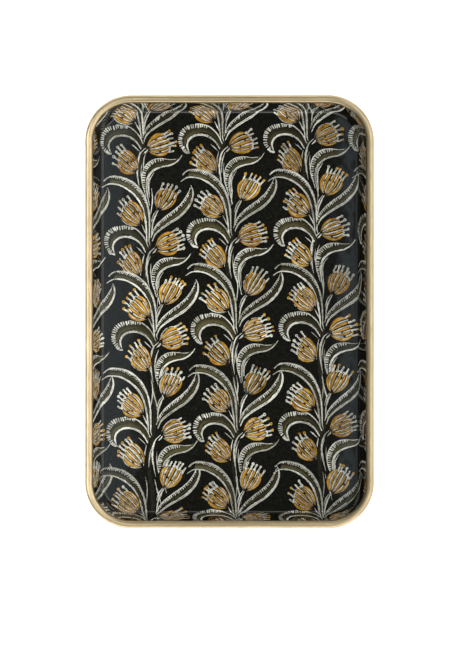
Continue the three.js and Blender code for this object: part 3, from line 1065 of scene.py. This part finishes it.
lip = BAND_LIP
# the strip's outer face: a broad, nearly level crown with a tight turn down at both edges
crown = [(-5.17, 18.50), (-5.06, 18.95), (-4.86, 19.28), (-4.50, 19.56), (-4.05, 19.76), (-3.50, 19.90), (-2.90, 19.98), (-2.30, 19.99),
         (-1.80, 19.90), (-1.35, 19.73), (-0.95, 19.48), (-0.58, 19.12), (-0.27, 18.62), (-0.07, 18.00)]  # fmt: skip
crown = [np.array(p) * np.array([1.0, HEIGHT / 20.0]) for p in smooth([WIRE + IN * BAND_OUT] + crown + [WIRE + np.array([BAND_OUT, -0.25])], 0.22)]
band_section = (
    [WIRE + IN * BAND_OUT - UP * lip, WIRE + IN * BAND_OUT - UP * lip * 0.5]
    + crown
    + arc(WIRE, BAND_OUT, math.radians(-12), BAND_END, 18)
    + arc(WIRE, BAND_IN, BAND_END, math.pi - LEAN, 24)
    + [WIRE + IN * BAND_IN - UP * lip]
)
band = shell("brass_rim", band_section, True, wave=0.05, seed=9)
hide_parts("rim_band")
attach(band, "root")
band.data.materials.append(brass_mat("satin_brass"))

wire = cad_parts["edge_wire"]
drawn = steel_mat("drawn_wire")
if wire.material_slots:
    for s_ in wire.material_slots:
        s_.material = drawn
else:
    wire.data.materials.append(drawn)

liner = printed_liner("vine_liner", vine())
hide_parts("printed_liner")
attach(liner, "root")
made = {
    "ground": ground_mat("print_ground", GROUND),
    "stem": ground_mat("print_stem", srgb(33, 31, 23)),
    "olive": olive_mat("print_olive"),
    "ochre": ink("print_ochre", srgb(214, 168, 72), srgb(146, 104, 30), worn=0.8, fleck=0.59),
    "rust": ink("print_rust", srgb(150, 100, 36), srgb(92, 58, 20), worn=0.7, fleck=0.60),
    "dark": ground_mat("print_dark", srgb(24, 21, 15)),
    "cream": ink("print_cream", srgb(236, 235, 221), srgb(162, 161, 146), worn=0.85, fleck=0.565),
    "backing": backing_mat("liner_backing"),
}
for key in INKS:
    liner.data.materials.append(made[key])

# ---- floor, light, camera ----
bm = bmesh.new()
bmesh.ops.create_grid(bm, x_segments=2, y_segments=2, size=3.0)
me = bpy.data.meshes.new("floor")
bm.to_mesh(me)
bm.free()
floor = bpy.data.objects.new("floor", me)
floor.location = (0, 0, -0.0002)
bpy.context.scene.collection.objects.link(floor)
n = Nodes("pale_floor")
n.set(Base_Color=(0.90, 0.90, 0.90, 1), Roughness=0.9)
n.bsdf.inputs["Specular IOR Level"].default_value = 0.1
n.bsdf.inputs["Emission Color"].default_value = (1, 1, 1, 1)
n.bsdf.inputs["Emission Strength"].default_value = 0.65
floor.data.materials.append(n.m)


def soft(name, pos, size, radiance, aim=(0, 0, 0.01), colour=(1, 1, 1), spread=180):
    """A soft rectangular light facing a point. size is how wide it is, level with the floor, and how tall,
    and spread is its beam in degrees."""
    d = bpy.data.lights.new(name, "AREA")
    d.shape = "RECTANGLE"
    d.size, d.size_y = size
    d.energy = radiance * math.pi * size[0] * size[1]
    d.color = colour
    d.spread = math.radians(spread)
    ob = bpy.data.objects.new(name, d)
    z = (Vector(pos) - Vector(aim)).normalized()
    wide = Vector((0, 0, 1)).cross(z)
    wide = wide.normalized() if wide.length > 1e-3 else Vector((0, 1, 0))
    m = Matrix((wide, z.cross(wide), z)).transposed().to_4x4()
    m.translation = Vector(pos)
    ob.matrix_world = m
    ob.visible_camera = False
    bpy.context.scene.collection.objects.link(ob)
    return ob


soft("key_left", (-0.62, 0.0, 1.50), (1.8, 0.8), 0.2)
soft("over_left", (-0.160, 0.0, 0.50), (0.66, 0.085), 0.30, aim=(-0.160, 0, 0), spread=40)
soft("near_left", (-0.22, 0.0, 0.16), (0.5, 0.12), 0.44, aim=(-0.1, 0, 0.02), spread=50)
soft("right_high", (0.62, 0.0, 1.50), (1.8, 0.8), 2.6)
soft("fill_right", (1.30, 0.0, 0.60), (2.0, 0.9), 1.55)
soft("front_low", (0.0, -0.90, 0.30), (1.6, 0.4), 3.4)
soft("back_low", (0.0, 0.90, 0.30), (1.6, 0.4), 1.9)
soft("fill_front", (0.5, -1.40, 1.15), (2.4, 1.5), 0.4)
# what the flat glossy floor mirrors beside the lens: a wide pale panel on the left and a narrow one on the right
soft("panel_left", (-0.137 - 0.35, 0.0, 2.0), (1.8, 0.70), 0.66, aim=(-0.137 - 0.35, 0, 0), colour=(0.78, 0.91, 1.0))
soft("panel_right", (0.165, 0.0, 2.0), (1.4, 0.014), 1.2, aim=(0.165, 0, 0), colour=(0.78, 0.92, 1.0))

world = bpy.data.worlds.new("studio")
world.use_nodes = True
bg = world.node_tree.nodes["Background"]
bg.inputs[0].default_value = (1.0, 1.0, 1.0, 1)
bg.inputs[1].default_value = 0.06
bpy.context.scene.world = world

scene = bpy.context.scene
scene.view_settings.view_transform = "Standard"
scene.view_settings.look = "None"
scene.view_settings.exposure = 0.0

PX = 0.692 * MM  # one picture unit on the rim's plane, at 465 x 645
cam = bpy.data.cameras.new("camera")
cam.lens = 160
cam.sensor_width = 36
cam.sensor_fit = "AUTO"
cam.clip_end = 20
camera = bpy.data.objects.new("camera", cam)
rim_z = (HEIGHT - BAND_OUT) * MM
camera.location = (2.95 * PX, -10.7 * PX, rim_z + 645 * PX * 160 / 36)
scene.collection.objects.link(camera)
scene.camera = camera
